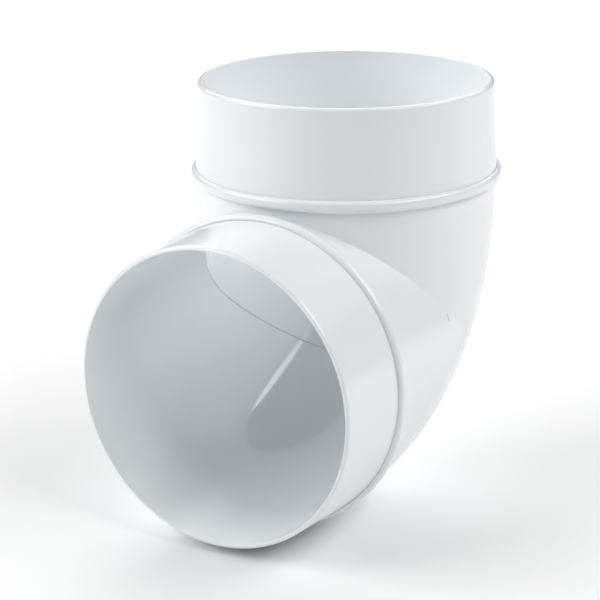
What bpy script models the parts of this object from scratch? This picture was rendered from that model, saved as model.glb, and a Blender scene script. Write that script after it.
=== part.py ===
"""A 90 degree elbow for 100 mm round air duct, moulded in white plastic, in metres.

The origin is where the axes of the two legs cross. One leg points up, +Z, and the other to the front, -Y.
Each half of the bend runs from the mitre to a collar, the plain sleeve that a duct slides over. A half-round
ring covers the joint between the two, and is the stop that the duct's end meets.
"""

import math

import bmesh
import bpy
from mathutils import Matrix

BODY_RADIUS = 0.0500  # outside of the bend and of its straight legs
BORE_RADIUS = 0.0480  # the one bore that runs through every piece
LEG_LENGTH = 0.0862  # from the axes' crossing to each rim
ARC_CENTRE = 0.0488  # distance of the outer bend's centre from each leg's axis
RIM_RADIUS = 0.0493  # outside of a collar at its rim, which its draft makes the narrow end
ROOT_RADIUS = 0.0505  # outside of a collar at its other end
JOINT_AT = 0.0552  # where a collar meets the bend, along the leg from the axes' crossing
STOP_RADIUS = 0.0521  # outside of a stop ring, whose middle lies over the joint
STOP_HALF_HEIGHT = 0.0019
STOP_LIP = 0.0004  # flat edge on each side of a stop ring
EDGE_RADIUS = 0.0006  # broken edge on the outside of a rim
GAP = 0.0003  # room between pieces that meet

HALF_STEPS = 28  # steps round half of a section
BEND_SECTIONS = 11  # sections from a leg's end to the mitre
STOP_STEPS = 8  # steps over a stop ring's round
CORNER = math.sqrt(0.5)

PLASTIC = (0.90, 0.92, 0.93, 1.0)


def clear_scene():
    for obj in list(bpy.data.objects):
        bpy.data.objects.remove(obj)


def white_plastic(name, roughness):
    material = bpy.data.materials.new(name)
    material.use_nodes = True
    shader = material.node_tree.nodes["Principled BSDF"]
    shader.inputs["Base Color"].default_value = PLASTIC
    shader.inputs["Roughness"].default_value = roughness
    shader.inputs["Metallic"].default_value = 0.0
    return material


def half_width(radius, y, z):
    """Half of the bend's width in X at a place in its upper half: the leg's cylinder, cut by the round back."""
    squared = radius**2 - y**2
    if y > -ARC_CENTRE and z < ARC_CENTRE:
        from_centre = math.hypot(y + ARC_CENTRE, z - ARC_CENTRE)
        squared = min(squared, radius**2 - (from_centre - ARC_CENTRE) ** 2)
    return math.sqrt(max(squared, 0.0))


def reach(radius, start, along):
    """How far from start the line leaves the bend's back: the leg's straight side, or the round of the bend."""
    straight = (radius - start[0]) / along[0]
    if start[1] + straight * along[1] >= ARC_CENTRE:
        return straight
    y = start[0] + ARC_CENTRE
    z = start[1] - ARC_CENTRE
    towards = y * along[0] + z * along[1]
    return -towards + math.sqrt(towards**2 - y**2 - z**2 + (radius + ARC_CENTRE) ** 2)


def section(radius, start, along):
    """A closed section of the bend's upper half, in a plane parallel to X that starts at the (y, z) given."""
    near = (-radius - start[0]) / along[0]
    far = reach(radius, start, along)
    points = []
    for step in range(2 * HALF_STEPS):
        angle = math.pi * step / HALF_STEPS
        place = (near + far) / 2 - (far - near) / 2 * math.cos(angle)
        y = start[0] + place * along[0]
        z = start[1] + place * along[1]
        x = 0.0 if step in (0, HALF_STEPS) else half_width(radius, y, z)
        points.append((math.copysign(x, math.sin(angle)), y, z))
    return points


def section_planes():
    """The sections' planes: they fan out from a line just off the inner corner, and the last lies on the mitre."""
    top = JOINT_AT - GAP / 2
    planes = []
    for step in range(BEND_SECTIONS):
        angle = math.radians(45) * step / (BEND_SECTIONS - 1)
        planes.append(((-top, top), (math.cos(angle), -math.sin(angle))))
    lift = CORNER * GAP / 2
    planes[-1] = ((-top + lift, top + lift), (CORNER, -CORNER))
    return planes


def bridge(bm, first, second):
    for step, vert in enumerate(first):
        after = (step + 1) % len(first)
        bm.faces.new((vert, first[after], second[after], second[step]))


def finish_mesh(bm, name, sharp_degrees):
    bmesh.ops.recalc_face_normals(bm, faces=bm.faces)
    mesh = bpy.data.meshes.new(name)
    bm.to_mesh(mesh)
    bm.free()
    mesh.shade_smooth()
    mesh.set_sharp_from_angle(angle=math.radians(sharp_degrees))
    return mesh


def half_bend_mesh():
    """The upper half of the bend, an open shell with a flat ring at its top and another on the mitre."""
    bm = bmesh.new()
    skins = []
    for radius in (BODY_RADIUS, BORE_RADIUS):
        sections = [section(radius, start, along) for start, along in section_planes()]
        skins.append([[bm.verts.new(point) for point in points] for points in sections])
    outer, inner = skins
    for skin in skins:
        for first, second in zip(skin, skin[1:]):
            bridge(bm, first, second)
    bridge(bm, outer[0], inner[0])
    bridge(bm, outer[-1], inner[-1])
    return finish_mesh(bm, "half_bend", 30)


def turned_mesh(name, profile):
    """A closed profile of (radius, place along the leg), turned once about Z."""
    bm = bmesh.new()
    steps = 2 * HALF_STEPS
    angles = [math.tau * step / steps for step in range(steps)]
    loops = []
    for radius, along in profile:
        points = [(radius * math.cos(a), radius * math.sin(a), along) for a in angles]
        loops.append([bm.verts.new(point) for point in points])
    for first, second in zip(loops, loops[1:] + loops[:1]):
        bridge(bm, first, second)
    return finish_mesh(bm, name, 30)


def collar_profile():
    """A sleeve with a straight bore, and an outside that narrows from its foot on the bend to its rim."""
    foot = JOINT_AT + GAP / 2
    edge = LEG_LENGTH - EDGE_RADIUS
    edge_radius = RIM_RADIUS + (ROOT_RADIUS - RIM_RADIUS) * EDGE_RADIUS / (LEG_LENGTH - foot)
    outside = [(RIM_RADIUS - EDGE_RADIUS, LEG_LENGTH), (edge_radius, edge), (ROOT_RADIUS, foot)]
    bore = [(BORE_RADIUS, foot), (BORE_RADIUS, LEG_LENGTH)]
    return outside + bore


def stop_ring_profile():
    """A band stepped inside to fit over the bend and the collar, and half round outside."""
    over_bend = BODY_RADIUS + GAP
    over_collar = ROOT_RADIUS + GAP
    step_at = JOINT_AT - GAP / 2
    points = []
    for step in range(STOP_STEPS + 1):
        angle = math.pi * step / STOP_STEPS
        along = JOINT_AT + STOP_HALF_HEIGHT * math.cos(angle)
        root = STOP_LIP + (over_collar if angle < math.pi / 2 else over_bend)
        points.append((root + (STOP_RADIUS - root) * math.sin(angle), along))
    points.append((over_bend, JOINT_AT - STOP_HALF_HEIGHT))
    points.append((over_bend, step_at))
    points.append((over_collar, step_at))
    points.append((over_collar, JOINT_AT + STOP_HALF_HEIGHT))
    return points


def add_piece(name, mesh, matrix, roughness):
    obj = bpy.data.objects.new(name, mesh)
    obj.matrix_world = matrix
    bpy.context.scene.collection.objects.link(obj)
    obj.material_slots[0].link = "OBJECT"
    obj.material_slots[0].material = white_plastic(name, roughness)
    return obj


def main():
    clear_scene()
    half_bend = half_bend_mesh()
    collar = turned_mesh("collar", collar_profile())
    stop_ring = turned_mesh("stop_ring", stop_ring_profile())
    for mesh in (half_bend, collar, stop_ring):
        mesh.materials.append(None)
    as_made = Matrix.Identity(4)
    turned_over = Matrix.Rotation(math.pi, 4, (0.0, -CORNER, CORNER))
    laid_forward = Matrix.Rotation(math.pi / 2, 4, "X")
    add_piece("upper_half_bend", half_bend, as_made, 0.22)
    add_piece("front_half_bend", half_bend, turned_over, 0.22)
    for leg, placed in (("upper", as_made), ("front", laid_forward)):
        add_piece(f"{leg}_collar", collar, placed, 0.18)
        add_piece(f"{leg}_stop_ring", stop_ring, placed, 0.18)


main()
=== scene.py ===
"""A white plastic 90 degree elbow for 100 mm round duct, on a pale floor under soft studio light, in metres.

The origin is where the axes of the two legs cross. One leg points up, +Z, and the other to the front, -Y.
A finer piece of the same size stands for each CAD node: the crease of the mitre is softened, the rims are
rounded, and the joints are closed to hairlines. A direction is given by its azimuth, where 0 is -Y and 90 is
+X, and by its elevation above level, both in degrees.
"""

import math

import bmesh
import bpy
import numpy as np
from mathutils import Matrix, Vector


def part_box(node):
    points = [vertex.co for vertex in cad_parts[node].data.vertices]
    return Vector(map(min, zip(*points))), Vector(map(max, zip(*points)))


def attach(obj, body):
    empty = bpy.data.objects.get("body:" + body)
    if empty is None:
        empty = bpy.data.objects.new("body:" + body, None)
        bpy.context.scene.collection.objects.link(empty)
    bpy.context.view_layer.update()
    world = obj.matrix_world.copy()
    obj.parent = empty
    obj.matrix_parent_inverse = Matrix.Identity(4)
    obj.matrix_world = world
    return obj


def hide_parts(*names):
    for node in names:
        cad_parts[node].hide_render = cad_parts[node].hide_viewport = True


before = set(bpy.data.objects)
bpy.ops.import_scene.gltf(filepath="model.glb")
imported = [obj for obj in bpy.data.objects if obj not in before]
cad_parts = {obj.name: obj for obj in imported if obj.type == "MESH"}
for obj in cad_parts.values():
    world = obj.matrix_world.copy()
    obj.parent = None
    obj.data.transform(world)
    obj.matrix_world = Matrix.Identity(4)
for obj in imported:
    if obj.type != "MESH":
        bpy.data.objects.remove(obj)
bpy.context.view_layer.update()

# Sizes read from the frame.
BODY_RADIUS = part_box("upper_half_bend")[1].x
ROOT_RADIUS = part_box("upper_collar")[1].x
LEG_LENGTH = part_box("upper_collar")[1].z
JOINT_AT = (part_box("upper_half_bend")[1].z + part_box("upper_collar")[0].z) / 2
STOP_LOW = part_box("upper_stop_ring")[0].z
STOP_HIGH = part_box("upper_stop_ring")[1].z
STOP_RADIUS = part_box("upper_stop_ring")[1].x
FLOOR_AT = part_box("front_stop_ring")[0].z

# Sizes of the plastic that the boxes don't give.
BORE_RADIUS = BODY_RADIUS - 0.0020
RIM_RADIUS = ROOT_RADIUS - 0.0012
ARC_CENTRE = BODY_RADIUS - 0.0012  # distance of the round back's centre from each leg's axis
CREASE_ROUND = 0.008 * BODY_RADIUS**2  # softness of the mitre's crease, as a difference of squared widths
BACK_ROUND = 0.14 * BODY_RADIUS**2  # softness of the turn from a leg's side to the round back
HAIRLINE = 0.00001
NOTCH_HALF_WIDTH = 0.00022  # of the fine groove inside, where the two halves of the bend meet
NOTCH_DEPTH = 0.0004
RIM_OUTER_ROUND = 0.0011
RIM_INNER_ROUND = 0.0001
GATE_MARK_AT = (-0.01505, 0.01735)  # its y and z, on a half bend in the upper half's place
GATE_MARK_LENGTH = 0.0030
GATE_MARK_WIDTH = 0.0010
GATE_MARK_HEIGHT = 0.0004
STOP_GAP = 0.00015  # fine gap between a stop ring and the bend, which shows as a darker line
STOP_TOP_ROUND = 0.0015  # round on a stop ring's side towards the rim
STOP_UNDERSIDE = 0.0014  # round on a stop ring's other side

# How finely the surfaces are cut, and how their shading is found.
HALF_STEPS = 96  # steps round half of a section
BEND_SECTIONS = 72
SECTION_CROWDING = 1.8  # 1 spaces the sections of the bend evenly, and more crowds them towards the mitre
TURN_STEPS = 288  # steps round a collar or a stop ring
ROUND_STEPS = 8  # steps over a rounded edge
GATE_MARK_STEPS = 32
HALVINGS = 50  # of the span in which the bend's wall is looked for
SLOPE_STEP = 0.000001  # for the slope of the bend's skin
LEAST_WIDTH = 1e-12  # stands in for a width of 0 in a division
SKIN_LIMIT = math.radians(20)  # a face that leans more than this from the skin isn't part of it
SHARP_EDGE = math.radians(35)
MITRE_ANGLE = math.radians(45)
CORNER = math.sqrt(0.5)

UPRIGHT = Matrix.Identity(4)
TURNED_OVER = Matrix.Rotation(math.pi, 4, (0.0, -CORNER, CORNER))
LAID_FORWARD = Matrix.Rotation(math.pi / 2, 4, "X")

# The plastic. The scales are those of noise, in cells per metre.
PLASTIC_SHADE = (0.875, 0.908, 0.930, 1.0)
PLASTIC_TINT = (0.900, 0.924, 0.942, 1.0)
PLASTIC_IOR = 1.6
OUTSIDE_ROUGHNESS = 0.22
BORE_ROUGHNESS = 0.07
ROUGHNESS_SPREAD = (0.85, 1.15)
CLOUD_SCALE = 28
GLOSS_SCALE = 70
RIPPLE_SCALE = 420
RIPPLE_HEIGHT = 0.000003
USUAL_NOISE = (0.3, 0.7)  # the range that noise mostly keeps to

FLOOR_HALF = 1.5  # half of the floor's side: past it the floor would darken, away from the lights
FLOOR_SHADE = (0.89, 0.89, 0.89, 1.0)
FLOOR_TINT = (0.91, 0.91, 0.91, 1.0)
FLOOR_CLOUD_SCALE = 3.0
FLOOR_ROUGHNESS = 0.6

LIGHTS_AT = 3.0  # distance of every softbox from the elbow
FILL_RADIANCE = 0.02
BACKDROP_RADIANCE = 0.95
WHITE = (1.0, 1.0, 1.0, 1.0)

CAMERA_AZIMUTH = 30.76
CAMERA_ELEVATION = 17.51
CAMERA_ROLL = -0.620
CAMERA_DISTANCE = 0.7046
CAMERA_LEFT = 0.01605  # how far the camera is slid to its left
CAMERA_UP = 0.00839  # and how far up
CAMERA_LENS = 122.6
CAMERA_SENSOR = 36.0
CAMERA_CLIP = 20.0


def smooth_least(a, b, width):
    """The lesser of a and b, rounded off where they come within width of each other."""
    closeness = np.clip(width - np.abs(a - b), 0.0, None)
    return np.minimum(a, b) - closeness**2 / (4 * np.maximum(width, LEAST_WIDTH))


def width_squared(radius, y, z):
    """The square of the upper half bend's half width in X: the legs' cylinders, cut by the round back."""
    upper_leg = radius**2 - y**2
    front_leg = radius**2 - z**2
    both_legs = -smooth_least(-upper_leg, -front_leg, CREASE_ROUND)
    legs = np.where(y < 0, both_legs, upper_leg)
    from_centre = np.hypot(y + ARC_CENTRE, z - ARC_CENTRE)
    back = radius**2 - (from_centre - ARC_CENTRE) ** 2
    softness = BACK_ROUND * (ARC_CENTRE - z) * (ARC_CENTRE + y) / ARC_CENTRE**2
    in_bend = (y > -ARC_CENTRE) & (z < ARC_CENTRE)
    return np.where(in_bend, smooth_least(legs, back, np.maximum(softness, 0.0)), legs)


def wall_crossing(radius, start, along, inside, outside):
    """Where the line from start crosses the bend's wall, between a place inside it and one outside."""
    for _ in range(HALVINGS):
        middle = (inside + outside) / 2
        if width_squared(radius, start[0] + middle * along[0], start[1] + middle * along[1]) > 0:
            inside = middle
        else:
            outside = middle
    return (inside + outside) / 2


def bend_section(radius, lift, angle):
    """A closed section of the bend's upper half, in a plane parallel to X.

    The planes fan out from a line just off the inner corner. The angle is 0 at the leg's end and 45 degrees
    at the mitre, and lift carries the plane that far off the mitre.
    """
    start = (-JOINT_AT + CORNER * lift, JOINT_AT + CORNER * lift)
    along = (math.cos(angle), -math.sin(angle))
    wall = (-radius - start[0]) / along[0]
    inside = wall + radius / 2
    near = wall_crossing(radius, start, along, inside, wall - radius / 50)
    far = wall_crossing(radius, start, along, inside, wall + 4 * radius)
    turn = math.pi * np.arange(2 * HALF_STEPS) / HALF_STEPS
    place = (near + far) / 2 - (far - near) / 2 * np.cos(turn)
    y = start[0] + place * along[0]
    z = start[1] + place * along[1]
    x = np.sqrt(np.maximum(width_squared(radius, y, z), 0.0)) * np.sign(np.sin(turn))
    x[[0, HALF_STEPS]] = 0.0
    return np.stack([x, y, z], axis=1)


def tube_faces(ring_count, ring_size):
    """The faces of a closed skin through a loop of rings, each of which is closed too."""
    faces = []
    for ring in range(ring_count):
        first = ring * ring_size
        second = (ring + 1) % ring_count * ring_size
        for step in range(ring_size):
            after = (step + 1) % ring_size
            faces.append((first + step, first + after, second + after, second + step))
    return faces


def mark_bore(mesh):
    """Sets the attribute "bore" to 1 on the faces that lie nearer to the bore than to the outside."""
    centres = np.array([polygon.center for polygon in mesh.polygons])
    middle_of_wall = (BORE_RADIUS + BODY_RADIUS) / 2
    in_bore = centres[:, 0] ** 2 < width_squared(middle_of_wall, centres[:, 1], centres[:, 2])
    attribute = mesh.attributes.new("bore", "FLOAT", "FACE")
    attribute.data.foreach_set("value", in_bore.astype(np.float32))


def new_mesh(name, rings):
    """A mesh through a loop of rings of points, with its faces turned outwards."""
    points = np.concatenate(rings)
    mesh = bpy.data.meshes.new(name)
    mesh.from_pydata(points.tolist(), [], tube_faces(len(rings), len(rings[0])))
    corners = points[np.array([polygon.vertices[:3] for polygon in mesh.polygons])]
    if np.linalg.det(corners).sum() < 0:
        mesh.flip_normals()
    mesh.shade_smooth()
    mesh.update()
    mark_bore(mesh)
    return mesh


def skin_normals(points):
    """Which way the bend's skin faces at points of its upper half, from the slope of width_squared."""
    x, y, z = points.T
    step = SLOPE_STEP
    rise_y = width_squared(BODY_RADIUS, y + step, z) - width_squared(BODY_RADIUS, y - step, z)
    rise_z = width_squared(BODY_RADIUS, y, z + step) - width_squared(BODY_RADIUS, y, z - step)
    normals = np.stack([x, -rise_y / (4 * step), -rise_z / (4 * step)], axis=1)
    return normals / np.linalg.norm(normals, axis=1, keepdims=True)


def shade_as_skin(mesh, skin_size):
    """Gives the corners of faces on the skin its true normal, so that the two halves shade as one surface.

    The skin's vertices are the first skin_size ones. Every other corner is shaded flat.
    """
    points = np.array([vertex.co for vertex in mesh.vertices])
    on_skin = skin_normals(points)
    least_agreement = math.cos(SKIN_LIMIT)
    corner_normals = []
    for polygon in mesh.polygons:
        flat = np.array(polygon.normal)
        for vertex in polygon.vertices:
            agreement = float(on_skin[vertex] @ flat)
            smooth = vertex < skin_size and abs(agreement) > least_agreement
            corner_normals.append(on_skin[vertex] * math.copysign(1.0, agreement) if smooth else flat)
    mesh.normals_split_custom_set(corner_normals)


def add_gate_mark(mesh):
    """Adds the small proud mark left by the mould's gate, sunk half way into the wall beside the mitre."""
    y, z = GATE_MARK_AT
    x = -math.sqrt(float(width_squared(BODY_RADIUS, np.array(y), np.array(z))))
    outwards = Vector(skin_normals(np.array([[x, y, z]]))[0])
    along = Vector((0.0, 1.0, 0.0))
    along = (along - outwards * along.dot(outwards)).normalized()
    across = along.cross(outwards)
    columns = (across * GATE_MARK_WIDTH / 2, along * GATE_MARK_LENGTH / 2, outwards * GATE_MARK_HEIGHT)
    matrix = Matrix.Translation((x, y, z)) @ Matrix(columns).transposed().to_4x4()
    steps = GATE_MARK_STEPS
    bm = bmesh.new()
    bm.from_mesh(mesh)
    bmesh.ops.create_uvsphere(bm, u_segments=steps, v_segments=steps // 2, radius=1.0, matrix=matrix)
    bm.to_mesh(mesh)
    bm.free()


def half_bend_mesh(marked):
    """The upper half of the bend: an open shell, with the edge of its bore notched at the mitre."""
    outer = []
    inner = []
    for share in np.linspace(0.0, 1.0, BEND_SECTIONS):
        angle = MITRE_ANGLE * (1 - (1 - share) ** SECTION_CROWDING)
        outer.append(bend_section(BODY_RADIUS, 0.0, angle))
        inner.append(bend_section(BORE_RADIUS, NOTCH_HALF_WIDTH * share, angle))
    inner.append(bend_section(BORE_RADIUS + NOTCH_DEPTH, HAIRLINE, MITRE_ANGLE))
    mesh = new_mesh("half_bend", outer + inner[::-1])
    skin_size = len(mesh.vertices)
    if marked:
        add_gate_mark(mesh)
    shade_as_skin(mesh, skin_size)
    return mesh


def arc(centre, radius, start_degrees, end_degrees):
    """Points along an arc of a profile, as (radius, place along the leg)."""
    angles = np.radians(np.linspace(start_degrees, end_degrees, ROUND_STEPS + 1))
    return [(centre[0] + radius * math.cos(a), centre[1] + radius * math.sin(a)) for a in angles]


def turned_mesh(name, profile):
    """A closed profile of (radius, place along the leg), turned about Z."""
    turn = math.tau * np.arange(TURN_STEPS) / TURN_STEPS
    rings = []
    for radius, along in profile:
        level = np.full(TURN_STEPS, along)
        rings.append(np.stack([radius * np.cos(turn), radius * np.sin(turn), level], axis=1))
    mesh = new_mesh(name, rings)
    mesh.set_sharp_from_angle(angle=SHARP_EDGE)
    return mesh


def collar_mesh():
    """A sleeve with a straight bore, an outside that narrows to its rim, and rounded edges there."""
    foot = JOINT_AT + HAIRLINE
    outer_centre = (RIM_RADIUS - RIM_OUTER_ROUND, LEG_LENGTH - RIM_OUTER_ROUND)
    inner_centre = (BORE_RADIUS + RIM_INNER_ROUND, LEG_LENGTH - RIM_INNER_ROUND)
    profile = [(BORE_RADIUS, foot), (ROOT_RADIUS, foot)]
    profile += arc(outer_centre, RIM_OUTER_ROUND, 0, 90)
    profile += arc(inner_centre, RIM_INNER_ROUND, 90, 180)
    return turned_mesh("collar", profile)


def stop_ring_mesh():
    """A band over the joint, stepped inside, and outside with a round on each of its edges."""
    over_collar = ROOT_RADIUS + HAIRLINE
    over_bend = BODY_RADIUS + STOP_GAP
    underside = (STOP_RADIUS - STOP_UNDERSIDE, STOP_LOW + STOP_UNDERSIDE)
    top = (STOP_RADIUS - STOP_TOP_ROUND, STOP_HIGH - STOP_TOP_ROUND)
    profile = [(over_collar, JOINT_AT), (over_bend, JOINT_AT), (over_bend, STOP_LOW)]
    profile += arc(underside, STOP_UNDERSIDE, -90, 0)
    profile += arc(top, STOP_TOP_ROUND, 0, 90)
    profile.append((over_collar, STOP_HIGH))
    return turned_mesh("stop_ring", profile)


def new_material(name):
    material = bpy.data.materials.new(name)
    material.use_nodes = True
    return material


def mix(tree, kind, factor, first, second):
    """A mix of two fixed colours or numbers, by a factor that comes from another node."""
    node = tree.nodes.new("ShaderNodeMix")
    node.data_type = kind
    node.inputs["A"].default_value = first
    node.inputs["B"].default_value = second
    tree.links.new(factor, node.inputs["Factor"])
    return node.outputs["Result"]


def noise(tree, scale, detail, seed):
    """Noise fixed to the object. Another seed gives another pattern."""
    node = tree.nodes.new("ShaderNodeTexNoise")
    node.noise_dimensions = "4D"
    node.inputs["W"].default_value = seed
    node.inputs["Scale"].default_value = scale
    node.inputs["Detail"].default_value = detail
    place = tree.nodes.new("ShaderNodeTexCoord").outputs["Object"]
    tree.links.new(place, node.inputs["Vector"])
    return node.outputs["Fac"]


def spread(tree, value, low, high):
    """Noise stretched so that its usual range runs from low to high."""
    node = tree.nodes.new("ShaderNodeMapRange")
    node.inputs["From Min"].default_value = USUAL_NOISE[0]
    node.inputs["From Max"].default_value = USUAL_NOISE[1]
    node.inputs["To Min"].default_value = low
    node.inputs["To Max"].default_value = high
    tree.links.new(value, node.inputs["Value"])
    return node.outputs["Result"]


def uneven_roughness(tree, seed):
    """The bore's or the outside's roughness, which varies a little from place to place."""
    bore = tree.nodes.new("ShaderNodeAttribute")
    bore.attribute_name = "bore"
    even = mix(tree, "FLOAT", bore.outputs["Fac"], OUTSIDE_ROUGHNESS, BORE_ROUGHNESS)
    uneven = tree.nodes.new("ShaderNodeMath")
    uneven.operation = "MULTIPLY"
    variation = spread(tree, noise(tree, GLOSS_SCALE, detail=4, seed=seed), *ROUGHNESS_SPREAD)
    tree.links.new(even, uneven.inputs[0])
    tree.links.new(variation, uneven.inputs[1])
    return uneven.outputs["Value"]


def ripples(tree, seed):
    """The fine waviness of a moulded skin."""
    bump = tree.nodes.new("ShaderNodeBump")
    bump.inputs["Distance"].default_value = RIPPLE_HEIGHT
    tree.links.new(noise(tree, RIPPLE_SCALE, detail=2, seed=seed), bump.inputs["Height"])
    return bump.outputs["Normal"]


def plastic(name, seed):
    """Moulded white plastic, glossier in the bore, which a polished core leaves, than on the outside.

    It has a faint cloudiness in its colour and its gloss, and a fine waviness of its skin.
    """
    material = new_material(name)
    tree = material.node_tree
    shader = tree.nodes["Principled BSDF"]
    shader.inputs["IOR"].default_value = PLASTIC_IOR
    clouds = spread(tree, noise(tree, CLOUD_SCALE, detail=3, seed=seed), 0.0, 1.0)
    tree.links.new(mix(tree, "RGBA", clouds, PLASTIC_SHADE, PLASTIC_TINT), shader.inputs["Base Color"])
    tree.links.new(uneven_roughness(tree, seed), shader.inputs["Roughness"])
    tree.links.new(ripples(tree, seed), shader.inputs["Normal"])
    return material


def new_object(name, data):
    obj = bpy.data.objects.new(name, data)
    bpy.context.scene.collection.objects.link(obj)
    return obj


def add_piece(name, mesh, matrix, material, node):
    """Puts a mesh in place of a CAD node, on the one body that the part has."""
    piece = new_object(name, mesh.copy())
    piece.matrix_world = matrix
    piece.data.materials.append(material)
    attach(piece, "root")
    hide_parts(node)


def add_elbow():
    """Adds the six pieces. Only the front half of the bend carries the gate mark."""
    half_bend = half_bend_mesh(False)
    marked_half_bend = half_bend_mesh(True)
    collar = collar_mesh()
    stop_ring = stop_ring_mesh()
    bend_plastic = plastic("bend_plastic", 1.0)
    collar_plastic = plastic("collar_plastic", 2.0)
    add_piece("bend_upper", half_bend, UPRIGHT, bend_plastic, "upper_half_bend")
    add_piece("bend_front", marked_half_bend, TURNED_OVER, bend_plastic, "front_half_bend")
    for leg, placed in (("upper", UPRIGHT), ("front", LAID_FORWARD)):
        add_piece(f"collar_{leg}", collar, placed, collar_plastic, f"{leg}_collar")
        add_piece(f"stop_{leg}", stop_ring, placed, collar_plastic, f"{leg}_stop_ring")


def direction(azimuth, elevation):
    azimuth = math.radians(azimuth)
    elevation = math.radians(elevation)
    return Vector((
        math.sin(azimuth) * math.cos(elevation),
        -math.cos(azimuth) * math.cos(elevation),
        math.sin(elevation),
    ))


def add_camera():
    """A long lens in front of the elbow and towards +X, a little above it."""
    roll = math.radians(CAMERA_ROLL)
    back = direction(CAMERA_AZIMUTH, CAMERA_ELEVATION)
    level = direction(CAMERA_AZIMUTH + 90, 0)
    rise = back.cross(level)
    right = math.cos(roll) * level + math.sin(roll) * rise
    up = math.cos(roll) * rise - math.sin(roll) * level
    place = back * CAMERA_DISTANCE - right * CAMERA_LEFT + up * CAMERA_UP
    data = bpy.data.cameras.new("camera")
    data.lens = CAMERA_LENS
    data.sensor_width = CAMERA_SENSOR
    data.clip_end = CAMERA_CLIP
    camera = new_object("camera", data)
    camera.matrix_world = Matrix((
        (right.x, up.x, back.x, place.x),
        (right.y, up.y, back.y, place.y),
        (right.z, up.z, back.z, place.z),
        (0.0, 0.0, 0.0, 1.0),
    ))
    bpy.context.scene.camera = camera


def floor_material():
    """A pale matt floor with a faint cloudiness."""
    material = new_material("floor")
    tree = material.node_tree
    shader = tree.nodes["Principled BSDF"]
    clouds = tree.nodes.new("ShaderNodeTexNoise")
    clouds.inputs["Scale"].default_value = FLOOR_CLOUD_SCALE
    place = tree.nodes.new("ShaderNodeTexCoord").outputs["Object"]
    tree.links.new(place, clouds.inputs["Vector"])
    colour = mix(tree, "RGBA", clouds.outputs["Fac"], FLOOR_SHADE, FLOOR_TINT)
    tree.links.new(colour, shader.inputs["Base Color"])
    shader.inputs["Roughness"].default_value = FLOOR_ROUGHNESS
    return material


def add_floor():
    mesh = bpy.data.meshes.new("floor")
    corners = [(x * FLOOR_HALF, y * FLOOR_HALF, FLOOR_AT) for x, y in ((-1, -1), (1, -1), (1, 1), (-1, 1))]
    mesh.from_pydata(corners, [], [(0, 1, 2, 3)])
    mesh.materials.append(floor_material())
    floor = new_object("floor", mesh)


def add_softbox(name, azimuth, elevation, width_degrees, height_degrees, radiance):
    """A soft area light that faces the elbow from the given direction, and that the camera doesn't see."""
    towards = direction(azimuth, elevation)
    data = bpy.data.lights.new(name, "AREA")
    data.shape = "RECTANGLE"
    data.size = 2 * LIGHTS_AT * math.tan(math.radians(width_degrees / 2))
    data.size_y = 2 * LIGHTS_AT * math.tan(math.radians(height_degrees / 2))
    data.energy = radiance * math.pi * data.size * data.size_y
    light = new_object(name, data)
    light.location = towards * LIGHTS_AT
    light.rotation_euler = towards.to_track_quat("Z", "Y").to_euler()
    light.visible_camera = False


def add_world():
    """A pale backdrop for the camera, and almost no light from it, so that the softboxes shape the elbow."""
    world = bpy.data.worlds.new("studio")
    world.use_nodes = True
    tree = world.node_tree
    background = tree.nodes["Background"]
    path = tree.nodes.new("ShaderNodeLightPath")
    strength = tree.nodes.new("ShaderNodeMapRange")
    strength.inputs["To Min"].default_value = FILL_RADIANCE
    strength.inputs["To Max"].default_value = BACKDROP_RADIANCE
    tree.links.new(path.outputs["Is Camera Ray"], strength.inputs["Value"])
    tree.links.new(strength.outputs["Result"], background.inputs["Strength"])
    background.inputs["Color"].default_value = WHITE
    bpy.context.scene.world = world


def add_light():
    """Broad soft boxes to the left, the right and the back, and weak ones between them."""
    # Name, azimuth, elevation, width and height as seen from the elbow, and radiance.
    add_softbox("softbox_left", 309, 33, 46, 42, 3.9)
    add_softbox("softbox_right", 98, 46, 54, 26, 4.8)
    add_softbox("softbox_back", 213, 33, 54, 16, 5.2)
    add_softbox("softbox_back_left", 262, 38, 40, 26, 0.75)
    add_softbox("softbox_back_right", 155, 38, 40, 26, 0.85)
    add_world()
    bpy.context.scene.view_settings.view_transform = "Standard"


add_elbow()
add_camera()
add_floor()
add_light()
